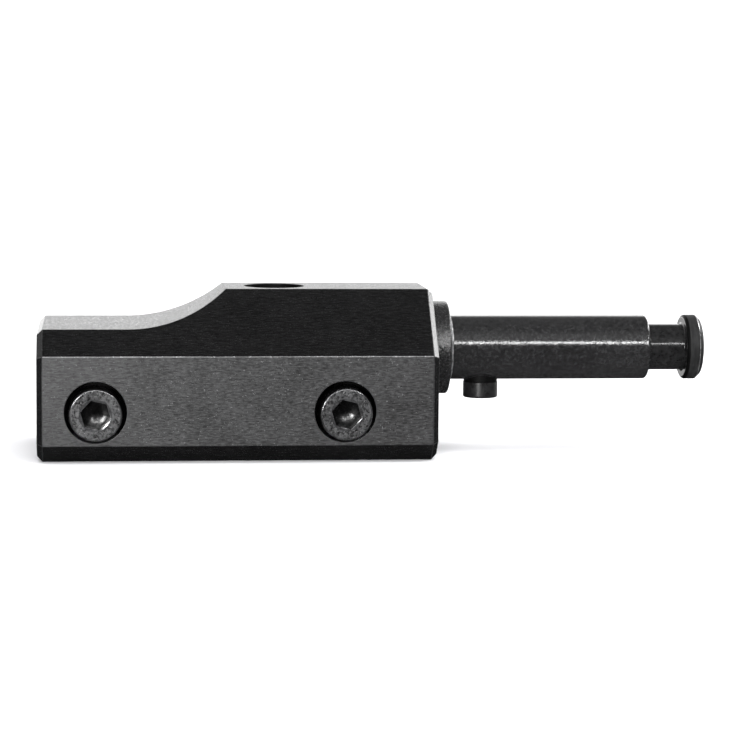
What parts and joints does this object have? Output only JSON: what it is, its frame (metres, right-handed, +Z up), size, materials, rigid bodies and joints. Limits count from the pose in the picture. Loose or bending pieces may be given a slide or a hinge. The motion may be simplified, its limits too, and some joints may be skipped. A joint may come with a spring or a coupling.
{
  "type": "rail clamp block with quick-change spigot",
  "caption": "Steel block that clamps on a dovetail rail with a screwed jaw and carries a grooved quick-change spigot with a locating pin.",
  "frame": {"origin": "middle of the left-hand end of the block, on the bottom plane", "axes": "+X along the block towards the spigot tip, +Y from the screw heads towards the jaw, +Z up from the rail channel to the decks"},
  "size_m": [0.1277, 0.039, 0.0314],
  "materials": {
    "block": "black oxide over fine grinding lines",
    "jaw": "black oxide over fine grinding lines",
    "screws": "black oxide",
    "washers": "phosphated",
    "guide_pins": "ground",
    "springs": "drawn wire",
    "key": "black oxide",
    "spigot": "black oxide, turned",
    "locating_pin": "black oxide, turned"
  },
  "bodies": {
    "block": {"clamp_block": "block", "lock_washer_left": "washers", "lock_washer_right": "washers", "guide_pin_left": "guide_pins", "guide_pin_right": "guide_pins", "jaw_spring_left": "springs", "jaw_spring_right": "springs", "cross_key": "key", "key_screw_front": "screws", "key_screw_rear": "screws", "spigot": "spigot", "locating_pin": "locating_pin", "spigot_lock_screw": "screws"},
    "jaw": {"clamp_jaw": "jaw"},
    "screw_left": {"clamp_screw_left": "screws"},
    "screw_right": {"clamp_screw_right": "screws"}
  },
  "joints": [
    {"name": "jaw_slide", "type": "slide", "parent": "block", "child": "jaw", "axis": [0, 1, 0], "range_m": [0, 0.0032], "deforming": ["jaw_spring_left", "jaw_spring_right"]},
    {"name": "screw_left_turn", "type": "hinge", "parent": "block", "child": "screw_left", "pos_m": [0.0108, -0.0188, 0.00885], "axis": [0, -1, 0], "range_deg": [0, 1153]},
    {"name": "screw_right_turn", "type": "hinge", "parent": "block", "child": "screw_right", "pos_m": [0.05725, -0.0188, 0.00885], "axis": [0, -1, 0], "range_deg": [0, 1153]}
  ],
  "couplings": [
    {"joint": "screw_left_turn", "follows": "jaw_slide", "rad_per_m": 6283.2},
    {"joint": "screw_right_turn", "follows": "jaw_slide", "rad_per_m": 6283.2}
  ]
}
